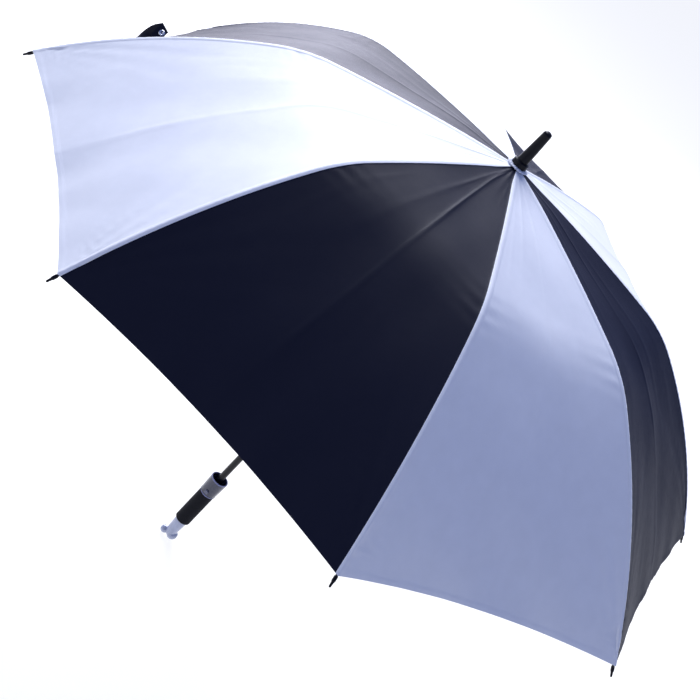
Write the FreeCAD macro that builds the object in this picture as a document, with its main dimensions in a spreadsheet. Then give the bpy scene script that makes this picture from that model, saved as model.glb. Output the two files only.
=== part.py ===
"""Automatic golf umbrella, shown open, as one parametric document.

Row frame in millimetres: +Z runs up the shaft from the handle to the ferrule, and the
origin is the middle of the handle's lower end. The release button faces -Y.

Each rib is two rigid rods that meet at the joint where its stretcher is pinned. The crown
pivots and the runner pivots lie at one radius, and a stretcher is as long as the stretch of
rib from the crown pivot to that joint, so the runner stays centred on the shaft while the
frame folds.
"""
import FreeCAD, Part
import Sketcher
import math
import os
from FreeCAD import Placement, Rotation, Vector

doc = FreeCAD.newDocument("golf_umbrella")

# ---------------------------------------------------------------- driving dimensions
SIZES = [
    ("crown_height", 940.0, "top of the cloth where the ribs meet"),
    ("rib_count", 8, "ribs round the shaft"),
    ("first_rib_turn", -157.5, "azimuth of rib 1, degrees"),
    ("shaft_radius", 6.0, "outside of the shaft tube"),
    ("shaft_bore", 4.8, "inside of the shaft tube"),
    ("shaft_low", 40.0, "shaft's lower end, inside the handle"),
    ("shaft_high", 973.0, "shaft's upper end, inside the ferrule"),
    ("snug", 0.05, "gap between a piece and the shaft it is fixed on"),
    # ribs: slopes are degrees below the horizontal, lengths run along the rod
    ("rod_radius", 2.0, "fibreglass rib rod"),
    ("rod_start_out", 19.6, "where the inner rod starts, from the axis"),
    ("rod_start_high", 935.7, "height of the inner rod's start"),
    ("slope_crown", 7.0, "rod's slope at the crown"),
    ("slope_near", 12.4, "slope where the rib begins to bend"),
    ("slope_joint", 22.1, "slope at the stretcher joint"),
    ("slope_far", 31.8, "slope where the tight bend ends"),
    ("slope_tip", 51.3, "slope at the hem"),
    ("near_length", 297.0, "gently bent stretch next to the crown"),
    ("bend_length", 45.0, "tightly bent stretch on each side of the joint"),
    ("far_length", 364.0, "stretch from the bend to the hem"),
    ("rod_past_hem", 5.0, "rod beyond the cloth's corner"),
    ("rod_gap", 4.5, "joint pin's foot to the end of each rod"),
    ("joint_drop", 6.0, "joint pin below the rod's line"),
    ("pin_radius", 1.0, "joint pin"),
    ("pin_hole", 1.05, "hole that turns on the joint pin"),
    ("joint_eye", 2.6, "outside of an eye on the joint pin"),
    ("tip_past_hem", 17.0, "rib tip's end beyond the cloth's corner"),
    ("tip_radius", 2.7, "barrel of the rib tip"),
    ("tip_end_radius", 1.5, "end of the rib tip"),
    # crown notch and runner
    ("pivot_radius", 11.0, "rib and stretcher pivots, from the axis"),
    ("crown_pivot_high", 929.0, "height of the crown pivots"),
    ("wire_radius", 0.8, "ring wire through the eyes"),
    ("eye_hole", 0.85, "eye that turns on the ring wire"),
    ("eye_radius", 2.2, "outside of an eye on a ring wire"),
    ("blade_thickness", 2.2, "flattened end with the eye"),
    ("notch_radius", 14.5, "slotted disc of the notch and the runner"),
    ("notch_slot", 2.8, "width of a slot"),
    ("notch_hub", 8.2, "bottom of the crown notch's slots"),
    ("runner_bore", 6.3, "inside of the runner"),
    ("sleeve_radius", 8.6, "outside of the runner's sleeve"),
    ("runner_hub", 8.5, "bottom of the runner's slots"),
    ("sleeve_below", 102.0, "sleeve below the runner pivots"),
    ("sleeve_above", 8.0, "sleeve above the runner pivots"),
    ("disc_half", 5.0, "half the height of the slotted disc"),
    ("stretcher_radius", 1.8, "stretcher rod"),
    ("fold_lean", 2.0, "folded rib's lean from the shaft, degrees"),
    ("plunger_drop", 15.0, "cross pin below the runner pivots"),
    ("cross_pin_radius", 1.4, "pin from the plunger to the runner"),
    ("shaft_slot", 3.4, "width of the slot the cross pin runs in"),
    ("plunger_radius", 4.5, "plunger inside the shaft"),
    ("spring_radius", 3.9, "main spring's coil, to the wire's middle"),
    ("spring_wire", 0.45, "main spring's wire radius"),
    ("spring_turns", 48, "main spring's turns"),
    ("seat_high", 131.0, "main spring's seat inside the shaft"),
    # cloth
    ("cloth_clearance", 0.7, "cloth above the rods"),
    ("cloth_thickness", 0.6, "canopy solid"),
    ("cloth_inner", 12.0, "cloth's inner edge from the axis"),
    ("cloth_sag", 0.035, "dip between ribs, share of half the span"),
    ("hem_inset", 13.0, "hem's middle, nearer the crown than its corners"),
    ("seam_gap", 0.15, "panel edge to the rib's middle plane"),
    # handle
    ("handle_core", 11.0, "outside of the handle's core tube"),
    ("grip_radius", 14.6, "foam grip"),
    ("grip_low", 50.0, "grip's lower end"),
    ("cup_low", 128.0, "cup's lower end"),
    ("cup_floor", 147.0, "floor of the space for the rib tips"),
    ("cup_high", 166.0, "cup's mouth"),
    ("cup_radius_low", 15.2, "cup's outside above its foot ring"),
    ("cup_radius_high", 16.6, "cup's outside at the mouth"),
    ("cup_wall", 1.4, "cup's wall"),
    ("chamber_radius", 14.0, "space for the release yoke"),
    ("button_radius", 4.0, "release button"),
    ("button_hole", 4.3, "hole for the release button"),
    ("button_high", 138.0, "release button's height"),
    ("button_proud", 2.6, "button out of the cup's wall"),
    ("yoke_hole", 8.9, "end radius of the yoke's slot"),
    ("yoke_shift", 2.4, "length of the yoke's slot between its ends"),
    ("yoke_edge", 10.5, "end radius of the yoke's outline"),
    ("yoke_thickness", 2.4, "release yoke"),
    ("knob_neck", 12.0, "end knob's neck"),
    ("knob_half", 16.6, "end knob's half width across its two lobes"),
    ("knob_turn", 12.0, "turn of the lobes' line from +X, degrees"),
    # ferrule
    ("cap_low", 941.6, "ferrule cap's lower rim"),
    ("cap_high", 953.5, "ferrule cap's top"),
    ("cap_radius", 13.6, "ferrule cap's rim"),
    ("ferrule_radius", 9.5, "ferrule's foot"),
    ("ferrule_tip_radius", 7.2, "ferrule below its rounded end"),
    ("ferrule_high", 1013.0, "ferrule's end"),
    ("ferrule_flat", 3.4, "radius of the flat at the ferrule's end"),
    ("rosette_radius", 18.8, "rosette's outer edge"),
    # tie strap
    ("strap_width", 15.0, "tie strap"),
    ("strap_thickness", 1.2, "tie strap, two layers and its stitching"),
    ("strap_place", 0.10, "where the strap is sewn on, share of half a panel"),
    ("strap_stand", 1.12, "strap's middle line above the under side of the cloth, at the hem"),
    ("strap_run", 57.0, "length of the strap's long curve, from the hem to its fold"),
    ("strap_fold", 9.0, "length of the strap's fold, along the curve"),
    ("strap_flap", 15.0, "length of the strap's straight end"),
    ("strap_rise", 52.0, "strap's angle to the cloth where it leaves the hem, degrees"),
    ("strap_level", 17.0, "strap's angle to the cloth at the start of the fold, degrees"),
    ("strap_fall", 69.0, "angle at which the strap's end turns back to the cloth, degrees"),
    ("snap_inset", 7.0, "snap's middle from the strap's free end"),
    ("snap_radius", 5.5, "snap fastener"),
]

sheet = doc.addObject("Spreadsheet::Sheet", "Dims")
for row, (alias, number, meaning) in enumerate(SIZES, start=1):
    sheet.set(f"A{row}", meaning)
    sheet.set(f"B{row}", str(number))
    sheet.setAlias(f"B{row}", alias)
doc.recompute()


def size(alias):
    """The sheet's value for an alias."""
    return float(sheet.get(alias))


# ---------------------------------------------------------------- helpers
TANGENT = Rotation(Vector(0, 0, 1), Vector(0, 1, 0))  # turns a local Z axis to +Y


def bind(piece, **expressions):
    """Binds a piece's properties to expressions on the sheet."""
    for name, expression in expressions.items():
        piece.setExpression(name, expression)
    return piece


def cylinder(name, radius, height, base, turn=Rotation()):
    rod = doc.addObject("Part::Cylinder", name)
    bind(rod, Radius=radius, Height=height)
    rod.Placement = Placement(base, turn)
    return rod


def cross_cylinder(name, radius, width, out, high):
    """A cylinder along Y, centred on the XZ plane, round the point (out, high)."""
    rod = cylinder(name, radius, width, Vector(), TANGENT)
    doc.recompute()
    rod.Placement = Placement(Vector(out, -rod.Height.Value / 2, high), TANGENT)
    return rod


def block(name, length, width, height, middle, lift=0.0):
    """A box centred on middle, with its length raised by lift degrees in the XZ plane."""
    box = doc.addObject("Part::Box", name)
    bind(box, Length=length, Width=width, Height=height)
    doc.recompute()
    turn = Rotation(Vector(0, 1, 0), -lift)
    half = Vector(box.Length.Value, box.Width.Value, box.Height.Value) * 0.5
    box.Placement = Placement(middle - turn.multVec(half), turn)
    return box


def bar(name, start, end, width, height, past=0.0):
    """A flat bar in the XZ plane from start to end, each (out, high), and a little past end."""
    run = math.hypot(end[0] - start[0], end[1] - start[1])
    lift = math.atan2(end[1] - start[1], end[0] - start[0])
    reach = (run + past) / 2
    middle = Vector(start[0] + reach * math.cos(lift), 0, start[1] + reach * math.sin(lift))
    return block(name, f"{run + past}", width, height, middle, math.degrees(lift))


def fuse(name, pieces):
    whole = doc.addObject("Part::MultiFuse", name)
    whole.Shapes = pieces
    whole.Refine = True
    return whole


def cut(name, base, tool):
    rest = doc.addObject("Part::Cut", name)
    rest.Base = base
    rest.Tool = tool
    return rest


def plane_of(body, role):
    """One of a body's own origin planes."""
    return next(feature for feature in body.Origin.OriginFeatures if feature.Role == role)


def outline_sketch(body, name, role, corners):
    """A closed outline of straight lines; each corner's two coordinates are expressions."""
    sketch = body.newObject("Sketcher::SketchObject", name)
    sketch.AttachmentSupport = (plane_of(body, role), [""])
    sketch.MapMode = "FlatFace"
    count = len(corners)
    ring = []
    for k in range(count):
        angle = 2 * math.pi * k / count
        ring.append(Vector(20 + 9 * math.cos(angle), 9 * math.sin(angle), 0))
    for k in range(count):
        sketch.addGeometry(Part.LineSegment(ring[k], ring[(k + 1) % count]), False)
    for k in range(count):
        sketch.addConstraint(Sketcher.Constraint("Coincident", k, 2, (k + 1) % count, 1))
    for k, (across, up) in enumerate(corners):
        for kind, at, expression in (("DistanceX", ring[k].x, across), ("DistanceY", ring[k].y, up)):
            number = sketch.addConstraint(Sketcher.Constraint(kind, -1, 1, k, 1, at))
            sketch.setExpression(f"Constraints[{number}]", expression)
    return sketch


def turned(label, corners):
    """A body of revolution about Z from an outline of (radius, height) corners."""
    body = doc.addObject("PartDesign::Body", label)
    sketch = outline_sketch(body, f"{label}_outline", "XZ_Plane", corners)
    doc.recompute()
    solid = body.newObject("PartDesign::Revolution", f"{label}_turned")
    solid.Profile = sketch
    solid.ReferenceAxis = (sketch, ["V_Axis"])
    solid.Angle = 360.0
    body.Tip = solid
    doc.recompute()
    return body


def ring_of(name, master, count, first, step):
    """Copies of a piece round the shaft, as separate labelled sub-parts."""
    copies = []
    for k in range(count):
        copy = doc.addObject("Part::Compound", f"{name}_{k + 1}")
        copy.Links = [master]
        copy.Placement = Placement(Vector(), Rotation(Vector(0, 0, 1), first + k * step))
        copies.append(copy)
    return copies


# ---------------------------------------------------------------- the rib's line
def bent(start, slope_from, slope_to, length):
    """The end of an arc in the XZ plane that starts at (out, high) and steepens downwards."""
    low, high = math.radians(slope_from), math.radians(slope_to)
    radius = length / (high - low)
    out = start[0] + radius * (math.sin(high) - math.sin(low))
    up = start[1] + radius * (math.cos(high) - math.cos(low))
    return out, up


def off_line(point, slope, along, above):
    """A point at a distance along a sloping line and above it."""
    angle = math.radians(slope)
    out = point[0] + along * math.cos(angle) + above * math.sin(angle)
    up = point[1] - along * math.sin(angle) + above * math.cos(angle)
    return out, up


COUNT = int(size("rib_count"))
FIRST = size("first_rib_turn")
STEP = 360.0 / COUNT
ROD_START = (size("rod_start_out"), size("rod_start_high"))
NEAR_END = bent(ROD_START, size("slope_crown"), size("slope_near"), size("near_length"))
FOOT = bent(NEAR_END, size("slope_near"), size("slope_joint"), size("bend_length"))
FAR_START = bent(FOOT, size("slope_joint"), size("slope_far"), size("bend_length"))
CORNER = bent(FAR_START, size("slope_far"), size("slope_tip"), size("far_length"))
JOINT = off_line(FOOT, size("slope_joint"), 0, -size("joint_drop"))
CROWN_PIVOT = (size("pivot_radius"), size("crown_pivot_high"))
RUNNER_PIVOT = (CROWN_PIVOT[0], 2 * JOINT[1] - CROWN_PIVOT[1])
REACH = math.hypot(JOINT[0] - CROWN_PIVOT[0], JOINT[1] - CROWN_PIVOT[1])
TRAVEL = 2 * REACH * math.cos(math.radians(size("fold_lean"))) - (CROWN_PIVOT[1] - RUNNER_PIVOT[1])


def arc_rod(name, start, slope_from, slope_to, length, skip=0.0, stop=0.0, more=0.0):
    """A bent rod as a piece of a torus. skip and stop shorten it, and more lengthens it."""
    turn_rate = (slope_to - slope_from) / length
    first = slope_from + turn_rate * skip
    last = slope_to + turn_rate * (more - stop)
    radius = math.degrees(1) / turn_rate
    angle = math.radians(slope_from)
    centre = Vector(start[0] - radius * math.sin(angle), 0, start[1] - radius * math.cos(angle))
    angle = math.radians(first)
    outwards = Vector(math.sin(angle), 0, math.cos(angle))
    onwards = Vector(math.cos(angle), 0, -math.sin(angle))
    rod = doc.addObject("Part::Torus", name)
    rod.Radius1 = radius
    rod.Angle3 = last - first
    bind(rod, Radius2="Dims.rod_radius")
    rod.Placement = Placement(centre, Rotation(outwards, onwards, Vector(0, 1, 0), "XYZ"))
    return rod


# ---------------------------------------------------------------- inner ribs
blade_end = off_line(ROD_START, size("slope_crown"), 1.0, 0)
rib_end = off_line(FOOT, size("slope_joint"), -size("rod_gap"), 0)
clip_middle = off_line(FOOT, size("slope_joint"), -size("rod_gap") - 2.0, -0.4)
cheek_step = 2.9
inner_solid = fuse("rib_inner_solid", [
    arc_rod("near_rod", ROD_START, size("slope_crown"), size("slope_near"), size("near_length")),
    arc_rod("near_bend", NEAR_END, size("slope_near"), size("slope_joint"), size("bend_length"),
            stop=size("rod_gap")),
    cross_cylinder("rib_eye", "Dims.eye_radius", "Dims.blade_thickness", *CROWN_PIVOT),
    bar("rib_blade", CROWN_PIVOT, blade_end, "Dims.blade_thickness", "3.2", past=0.6),
    block("joint_clip", "4.4", "6.8", "4.4", Vector(clip_middle[0], 0, clip_middle[1]),
          -size("slope_joint")),
    cross_cylinder("joint_pin", "Dims.pin_radius", "6.8", *JOINT),
])
cheeks = []
for side in (-1, 1):
    plate = bar(f"cheek_bar_{side + 2}", clip_middle, JOINT, "1.0", "4.2")
    plate.Placement.Base.y += side * cheek_step
    disc = cross_cylinder(f"cheek_disc_{side + 2}", "Dims.joint_eye", "1.0", *JOINT)
    disc.Placement.Base.y += side * cheek_step
    cheeks += [plate, disc]
inner_whole = fuse("rib_inner_whole", [inner_solid] + cheeks)
inner_hole = cross_cylinder("rib_eye_hole", "Dims.eye_hole", "8", *CROWN_PIVOT)
rib_inner = cut("rib_inner", inner_whole, inner_hole)

# ---------------------------------------------------------------- outer ribs
rod_first = off_line(FOOT, size("slope_joint"), 5.6, 0)
outer_solid = fuse("rib_outer_solid", [
    arc_rod("far_bend", FOOT, size("slope_joint"), size("slope_far"), size("bend_length"), skip=3.0),
    arc_rod("far_rod", FAR_START, size("slope_far"), size("slope_tip"), size("far_length"),
            more=size("rod_past_hem")),
    cross_cylinder("outer_eye", "Dims.joint_eye", "1.6", *JOINT),
    bar("outer_arm", JOINT, rod_first, "1.6", "3.8"),
])
rib_outer = cut("rib_outer", outer_solid,
                cross_cylinder("outer_eye_hole", "Dims.pin_hole", "8", *JOINT))

# ---------------------------------------------------------------- rib tips
tip_body = turned("tip_turned", [
    ("0", "Dims.rod_past_hem"),
    ("Dims.rod_radius", "Dims.rod_past_hem"),
    ("Dims.rod_radius", "1.2"),
    ("Dims.tip_radius", "1.2"),
    ("Dims.tip_radius", "Dims.rod_past_hem + 2.5"),
    ("Dims.tip_end_radius + 0.4", "Dims.rod_past_hem + 5"),
    ("Dims.tip_end_radius", "Dims.tip_past_hem - 0.8"),
    ("Dims.tip_end_radius - 0.7", "Dims.tip_past_hem"),
    ("0", "Dims.tip_past_hem"),
])
# the body's own Z axis is laid along the rod's end
tip_body.Placement = Placement(Vector(CORNER[0], 0, CORNER[1]),
                               Rotation(Vector(0, 1, 0), 90 + size("slope_tip")))

# ---------------------------------------------------------------- stretchers
lean_open = math.degrees(math.atan2(JOINT[1] - RUNNER_PIVOT[1], JOINT[0] - RUNNER_PIVOT[0]))
rod_low = off_line(RUNNER_PIVOT, -lean_open, 8.0, 0)
rod_high = off_line(JOINT, -lean_open, -10.0, 0)
fork_low = off_line(JOINT, -lean_open, -9.5, 0)
rod_turn = Rotation(Vector(0, 0, 1), Vector(math.cos(math.radians(lean_open)), 0,
                                            math.sin(math.radians(lean_open))))
stretcher_solid = fuse("stretcher_solid", [
    cylinder("stretcher_rod", "Dims.stretcher_radius", f"{REACH - 18.0}",
             Vector(rod_low[0], 0, rod_low[1]), rod_turn),
    cross_cylinder("stretcher_eye", "Dims.eye_radius", "Dims.blade_thickness", *RUNNER_PIVOT),
    bar("stretcher_blade", RUNNER_PIVOT, rod_low, "Dims.blade_thickness", "3.2", past=2.0),
    block("fork_root", "4.0", "4.4", "3.8", Vector(fork_low[0], 0, fork_low[1]), lean_open),
])
tines = []
for side in (-1, 1):
    tine = bar(f"tine_bar_{side + 2}", fork_low, JOINT, "1.2", "3.8")
    tine.Placement.Base.y += side * 1.6
    eye = cross_cylinder(f"tine_eye_{side + 2}", "Dims.joint_eye", "1.2", *JOINT)
    eye.Placement.Base.y += side * 1.6
    tines += [tine, eye]
stretcher_whole = fuse("stretcher_whole", [stretcher_solid] + tines)
stretcher_holes = fuse("stretcher_holes", [
    cross_cylinder("stretcher_low_hole", "Dims.eye_hole", "8", *RUNNER_PIVOT),
    cross_cylinder("stretcher_high_hole", "Dims.pin_hole", "8", *JOINT),
])
stretcher = cut("stretcher", stretcher_whole, stretcher_holes)


# ---------------------------------------------------------------- crown notch and runner
def ring_wire(name, height):
    """The closed wire through the eyes: straight between the slots, bent at each wall."""
    half = size("pivot_radius") * math.tan(math.radians(STEP / 2))
    bend_out = size("pivot_radius") / math.cos(math.radians(STEP / 2))
    pieces = []
    for k in range(COUNT):
        turn = Rotation(Vector(0, 0, 1), FIRST + k * STEP)
        rod = cylinder(f"{name}_side_{k}", "Dims.wire_radius", f"{2 * half}",
                       turn.multVec(Vector(size("pivot_radius"), -half, height)), turn * TANGENT)
        corner = doc.addObject("Part::Sphere", f"{name}_corner_{k}")
        bind(corner, Radius="Dims.wire_radius")
        corner_turn = Rotation(Vector(0, 0, 1), FIRST + (k + 0.5) * STEP)
        corner.Placement.Base = corner_turn.multVec(Vector(bend_out, 0, height))
        pieces += [rod, corner]
    return fuse(name, pieces)


def slot_cutters(name, inner, low, high):
    """One radial slot for each rib, from an inner radius outwards."""
    cutters = []
    for k in range(COUNT):
        slot = doc.addObject("Part::Box", f"{name}_{k}")
        bind(slot, Length="Dims.notch_radius", Width="Dims.notch_slot")
        slot.Height = high - low
        turn = Rotation(Vector(0, 0, 1), FIRST + k * STEP)
        slot.Placement = Placement(turn.multVec(Vector(inner, -size("notch_slot") / 2, low)), turn)
        cutters.append(slot)
    return cutters


notch_wire = ring_wire("notch_wire", CROWN_PIVOT[1])
notch_blank = turned("notch_blank", [
    ("Dims.shaft_radius + Dims.snug", "Dims.crown_pivot_high - 4"),
    ("Dims.notch_radius - 1", "Dims.crown_pivot_high - 4"),
    ("Dims.notch_radius", "Dims.crown_pivot_high - 3"),
    ("Dims.notch_radius", "Dims.crown_pivot_high + 6"),
    ("Dims.notch_radius - 2", "Dims.crown_pivot_high + 8"),
    ("Dims.notch_hub", "Dims.crown_pivot_high + 8"),
    ("Dims.notch_hub", "Dims.crown_height"),
    ("Dims.shaft_radius + Dims.snug", "Dims.crown_height"),
])
notch_slots = fuse("notch_slots", slot_cutters("notch_slot", size("notch_hub"), 920, 945)
                   + [notch_wire])
crown_notch = cut("crown_notch", notch_blank, notch_slots)

runner_wire = ring_wire("runner_wire", RUNNER_PIVOT[1])
runner_blank = turned("runner_blank", [
    ("Dims.runner_bore", f"{RUNNER_PIVOT[1]} - Dims.sleeve_below"),
    ("Dims.sleeve_radius - 1", f"{RUNNER_PIVOT[1]} - Dims.sleeve_below"),
    ("Dims.sleeve_radius", f"{RUNNER_PIVOT[1]} - Dims.sleeve_below + 1"),
    ("Dims.sleeve_radius", f"{RUNNER_PIVOT[1]} - Dims.sleeve_below + 3"),
    ("Dims.sleeve_radius - 0.9", f"{RUNNER_PIVOT[1]} - Dims.sleeve_below + 3"),
    ("Dims.sleeve_radius - 0.9", f"{RUNNER_PIVOT[1]} - Dims.sleeve_below + 6.4"),
    ("Dims.sleeve_radius", f"{RUNNER_PIVOT[1]} - Dims.sleeve_below + 6.4"),
    ("Dims.sleeve_radius", f"{RUNNER_PIVOT[1]} - Dims.disc_half - 5"),
    ("Dims.notch_radius", f"{RUNNER_PIVOT[1]} - Dims.disc_half"),
    ("Dims.notch_radius", f"{RUNNER_PIVOT[1]} + Dims.disc_half - 1"),
    ("Dims.notch_radius - 1", f"{RUNNER_PIVOT[1]} + Dims.disc_half"),
    ("Dims.sleeve_radius", f"{RUNNER_PIVOT[1]} + Dims.disc_half"),
    ("Dims.sleeve_radius", f"{RUNNER_PIVOT[1]} + Dims.sleeve_above"),
    ("Dims.runner_bore", f"{RUNNER_PIVOT[1]} + Dims.sleeve_above"),
])
pin_high = RUNNER_PIVOT[1] - size("plunger_drop")
cross_turn = Rotation(Vector(0, 0, 1), Vector(1, 0, 0))
cross_pin = cylinder("cross_pin", "Dims.cross_pin_radius", "2 * Dims.sleeve_radius",
                     Vector(-size("sleeve_radius"), 0, pin_high), cross_turn)
runner_slots = fuse("runner_slots", slot_cutters("runner_slot", size("runner_hub"),
                                                 RUNNER_PIVOT[1] - 12, RUNNER_PIVOT[1] + 12)
                    + [runner_wire, cross_pin])
runner = cut("runner", runner_blank, runner_slots)
plunger = cylinder("plunger_plug", "Dims.plunger_radius", "12",
                   Vector(0, 0, pin_high - 6))
spring_plunger = fuse("spring_plunger", [plunger, cross_pin])

# ---------------------------------------------------------------- shaft
shaft_tube = turned("shaft_tube", [
    ("Dims.shaft_bore", "Dims.shaft_low"),
    ("Dims.shaft_radius", "Dims.shaft_low"),
    ("Dims.shaft_radius", "Dims.shaft_high"),
    ("Dims.shaft_bore", "Dims.shaft_high"),
])
spring_seat = cylinder("spring_seat", "Dims.shaft_bore", "6", Vector(0, 0, size("seat_high") - 6))
shaft_slots = doc.addObject("Part::Box", "shaft_slots")
bind(shaft_slots, Length="2.5 * Dims.shaft_radius", Width="Dims.shaft_slot")
shaft_slots.Height = TRAVEL + 2 * size("shaft_slot")
shaft_slots.Placement.Base = Vector(-1.25 * size("shaft_radius"), -size("shaft_slot") / 2,
                                    pin_high - TRAVEL - size("shaft_slot"))
shaft = cut("shaft", fuse("shaft_blank", [shaft_tube, spring_seat]), shaft_slots)

coil_line = doc.addObject("Part::Helix", "main_spring_line")
coil_low = size("seat_high") + size("spring_wire") + 0.2
coil_high = pin_high - 6 - size("spring_wire") - 0.2
coil_line.Pitch = (coil_high - coil_low) / size("spring_turns")
coil_line.Height = coil_high - coil_low
bind(coil_line, Radius="Dims.spring_radius")
coil_line.Placement.Base = Vector(0, 0, coil_low)
coil_ring = doc.addObject("Part::Circle", "main_spring_ring")
bind(coil_ring, Radius="Dims.spring_wire")
coil_ring.Placement = Placement(Vector(size("spring_radius"), 0, coil_low),
                                Rotation(Vector(0, 0, 1), Vector(0, 1, 0)))
main_spring = doc.addObject("Part::Sweep", "main_spring")
main_spring.Sections = [coil_ring]
main_spring.Spine = (coil_line, [])
main_spring.Solid = True
main_spring.Frenet = True

stop_collar = turned("stop_collar", [
    ("Dims.shaft_radius + Dims.snug", f"{RUNNER_PIVOT[1]} + Dims.sleeve_above + 0.3"),
    ("Dims.sleeve_radius", f"{RUNNER_PIVOT[1]} + Dims.sleeve_above + 0.3"),
    ("Dims.sleeve_radius + 1", f"{RUNNER_PIVOT[1]} + Dims.sleeve_above + 1.5"),
    ("Dims.sleeve_radius + 1", f"{RUNNER_PIVOT[1]} + Dims.sleeve_above + 7"),
    ("Dims.sleeve_radius", f"{RUNNER_PIVOT[1]} + Dims.sleeve_above + 8"),
    ("Dims.shaft_radius + Dims.snug", f"{RUNNER_PIVOT[1]} + Dims.sleeve_above + 8"),
])

# ---------------------------------------------------------------- ferrule, cap and rosette
ferrule = turned("ferrule", [
    ("Dims.shaft_radius + Dims.snug", "Dims.cap_high"),
    ("Dims.ferrule_radius", "Dims.cap_high"),
    ("Dims.ferrule_tip_radius", "Dims.ferrule_high - 5"),
    ("Dims.ferrule_tip_radius - 1", "Dims.ferrule_high - 1.6"),
    ("Dims.ferrule_flat", "Dims.ferrule_high"),
    ("0", "Dims.ferrule_high"),
    ("0", "Dims.shaft_high + 1"),
    ("Dims.shaft_radius + Dims.snug", "Dims.shaft_high + 1"),
])
ferrule_cap = turned("ferrule_cap", [
    ("Dims.shaft_radius + Dims.snug", "Dims.cap_low"),
    ("Dims.cap_radius", "Dims.cap_low"),
    ("Dims.cap_radius - 0.5", "Dims.cap_high - 1"),
    ("Dims.cap_radius - 1.5", "Dims.cap_high"),
    ("Dims.shaft_radius + Dims.snug", "Dims.cap_high"),
])
rosette = turned("rosette", [
    ("Dims.shaft_radius + Dims.snug", "Dims.crown_height + 0.2"),
    ("Dims.rosette_radius - 1", "Dims.crown_height + 0.2"),
    ("Dims.rosette_radius", "Dims.crown_height + 1.6"),
    ("Dims.rosette_radius - 0.6", "Dims.cap_low + 2.2"),
    ("Dims.cap_radius + 1.6", "Dims.cap_low + 3"),
    ("Dims.cap_radius + 0.3", "Dims.cap_low + 1.4"),
    ("Dims.cap_radius + 0.3", "Dims.cap_low - 0.2"),
    ("Dims.shaft_radius + Dims.snug", "Dims.cap_low - 0.2"),
])

# ---------------------------------------------------------------- handle
cup_blank = turned("cup_blank", [
    ("Dims.shaft_radius + Dims.snug", "Dims.cup_low"),
    ("Dims.cup_radius_low - 0.4", "Dims.cup_low"),
    ("Dims.cup_radius_low + 0.3", "Dims.cup_low + 1"),
    ("Dims.cup_radius_low + 0.3", "Dims.cup_low + 2.6"),
    ("Dims.cup_radius_low", "Dims.cup_low + 3.2"),
    ("Dims.cup_radius_high", "Dims.cup_high - 2"),
    ("Dims.cup_radius_high - 0.4", "Dims.cup_high"),
    ("Dims.cup_radius_high - Dims.cup_wall", "Dims.cup_high"),
    ("Dims.chamber_radius + 0.4", "Dims.cup_floor"),
    ("Dims.sleeve_radius + 0.4", "Dims.cup_floor"),
    ("Dims.sleeve_radius + 0.4", "Dims.cup_floor - 2.5"),
    ("Dims.chamber_radius", "Dims.cup_floor - 2.5"),
    ("Dims.chamber_radius", "Dims.cup_low + 3"),
    ("Dims.shaft_radius + Dims.snug", "Dims.cup_low + 3"),
])
button_turn = Rotation(Vector(0, 0, 1), Vector(0, -1, 0))
button_bore = cylinder("button_bore", "Dims.button_hole", "8",
                       Vector(0, -12, size("button_high")), button_turn)
tip_cup = cut("tip_cup", cup_blank, button_bore)

handle_core = turned("handle_core", [
    ("Dims.shaft_radius + Dims.snug", "Dims.shaft_low - 6"),
    ("Dims.handle_core", "Dims.shaft_low - 6"),
    ("Dims.handle_core", "Dims.cup_low - 0.1"),
    ("Dims.shaft_radius + Dims.snug", "Dims.cup_low - 0.1"),
])
grip = turned("grip", [
    ("Dims.handle_core + Dims.snug", "Dims.grip_low"),
    ("Dims.grip_radius - 1.2", "Dims.grip_low"),
    ("Dims.grip_radius", "Dims.grip_low + 1.4"),
    ("Dims.grip_radius", "Dims.cup_low - 1"),
    ("Dims.grip_radius - 0.6", "Dims.cup_low - 0.2"),
    ("Dims.handle_core + Dims.snug", "Dims.cup_low - 0.2"),
])


def slot_shape(body, name, radius, middle_low, middle_high):
    """A slot outline with round ends along Y, drawn on the body's XY plane."""
    sketch = body.newObject("Sketcher::SketchObject", name)
    sketch.AttachmentSupport = (plane_of(body, "XY_Plane"), [""])
    sketch.MapMode = "FlatFace"
    wide = 10.0
    low, high = Vector(0, -3, 0), Vector(0, 0, 0)
    up = Vector(0, 0, 1)
    sketch.addGeometry(Part.ArcOfCircle(Part.Circle(high, up, wide), 0, math.pi), False)
    sketch.addGeometry(Part.ArcOfCircle(Part.Circle(low, up, wide), math.pi, 2 * math.pi), False)
    sketch.addGeometry(Part.LineSegment(Vector(-wide, 0, 0), Vector(-wide, -3, 0)), False)
    sketch.addGeometry(Part.LineSegment(Vector(wide, -3, 0), Vector(wide, 0, 0)), False)
    joins = ((0, 2, 2, 1), (2, 2, 1, 1), (1, 2, 3, 1), (3, 2, 0, 1))
    for first, first_end, second, second_end in joins:
        sketch.addConstraint(Sketcher.Constraint("Tangent", first, first_end, second, second_end))
    sketch.addConstraint(Sketcher.Constraint("PointOnObject", 0, 3, -2))
    sketch.addConstraint(Sketcher.Constraint("Vertical", 3))
    for kind, where, at, expression in (
        ("Radius", (0,), wide, radius),
        ("DistanceY", (-1, 1, 0, 3), 0.0, middle_high),
        ("DistanceY", (-1, 1, 1, 3), -3.0, middle_low),
    ):
        number = sketch.addConstraint(Sketcher.Constraint(kind, *where, at))
        sketch.setExpression(f"Constraints[{number}]", expression)
    return sketch


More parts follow.
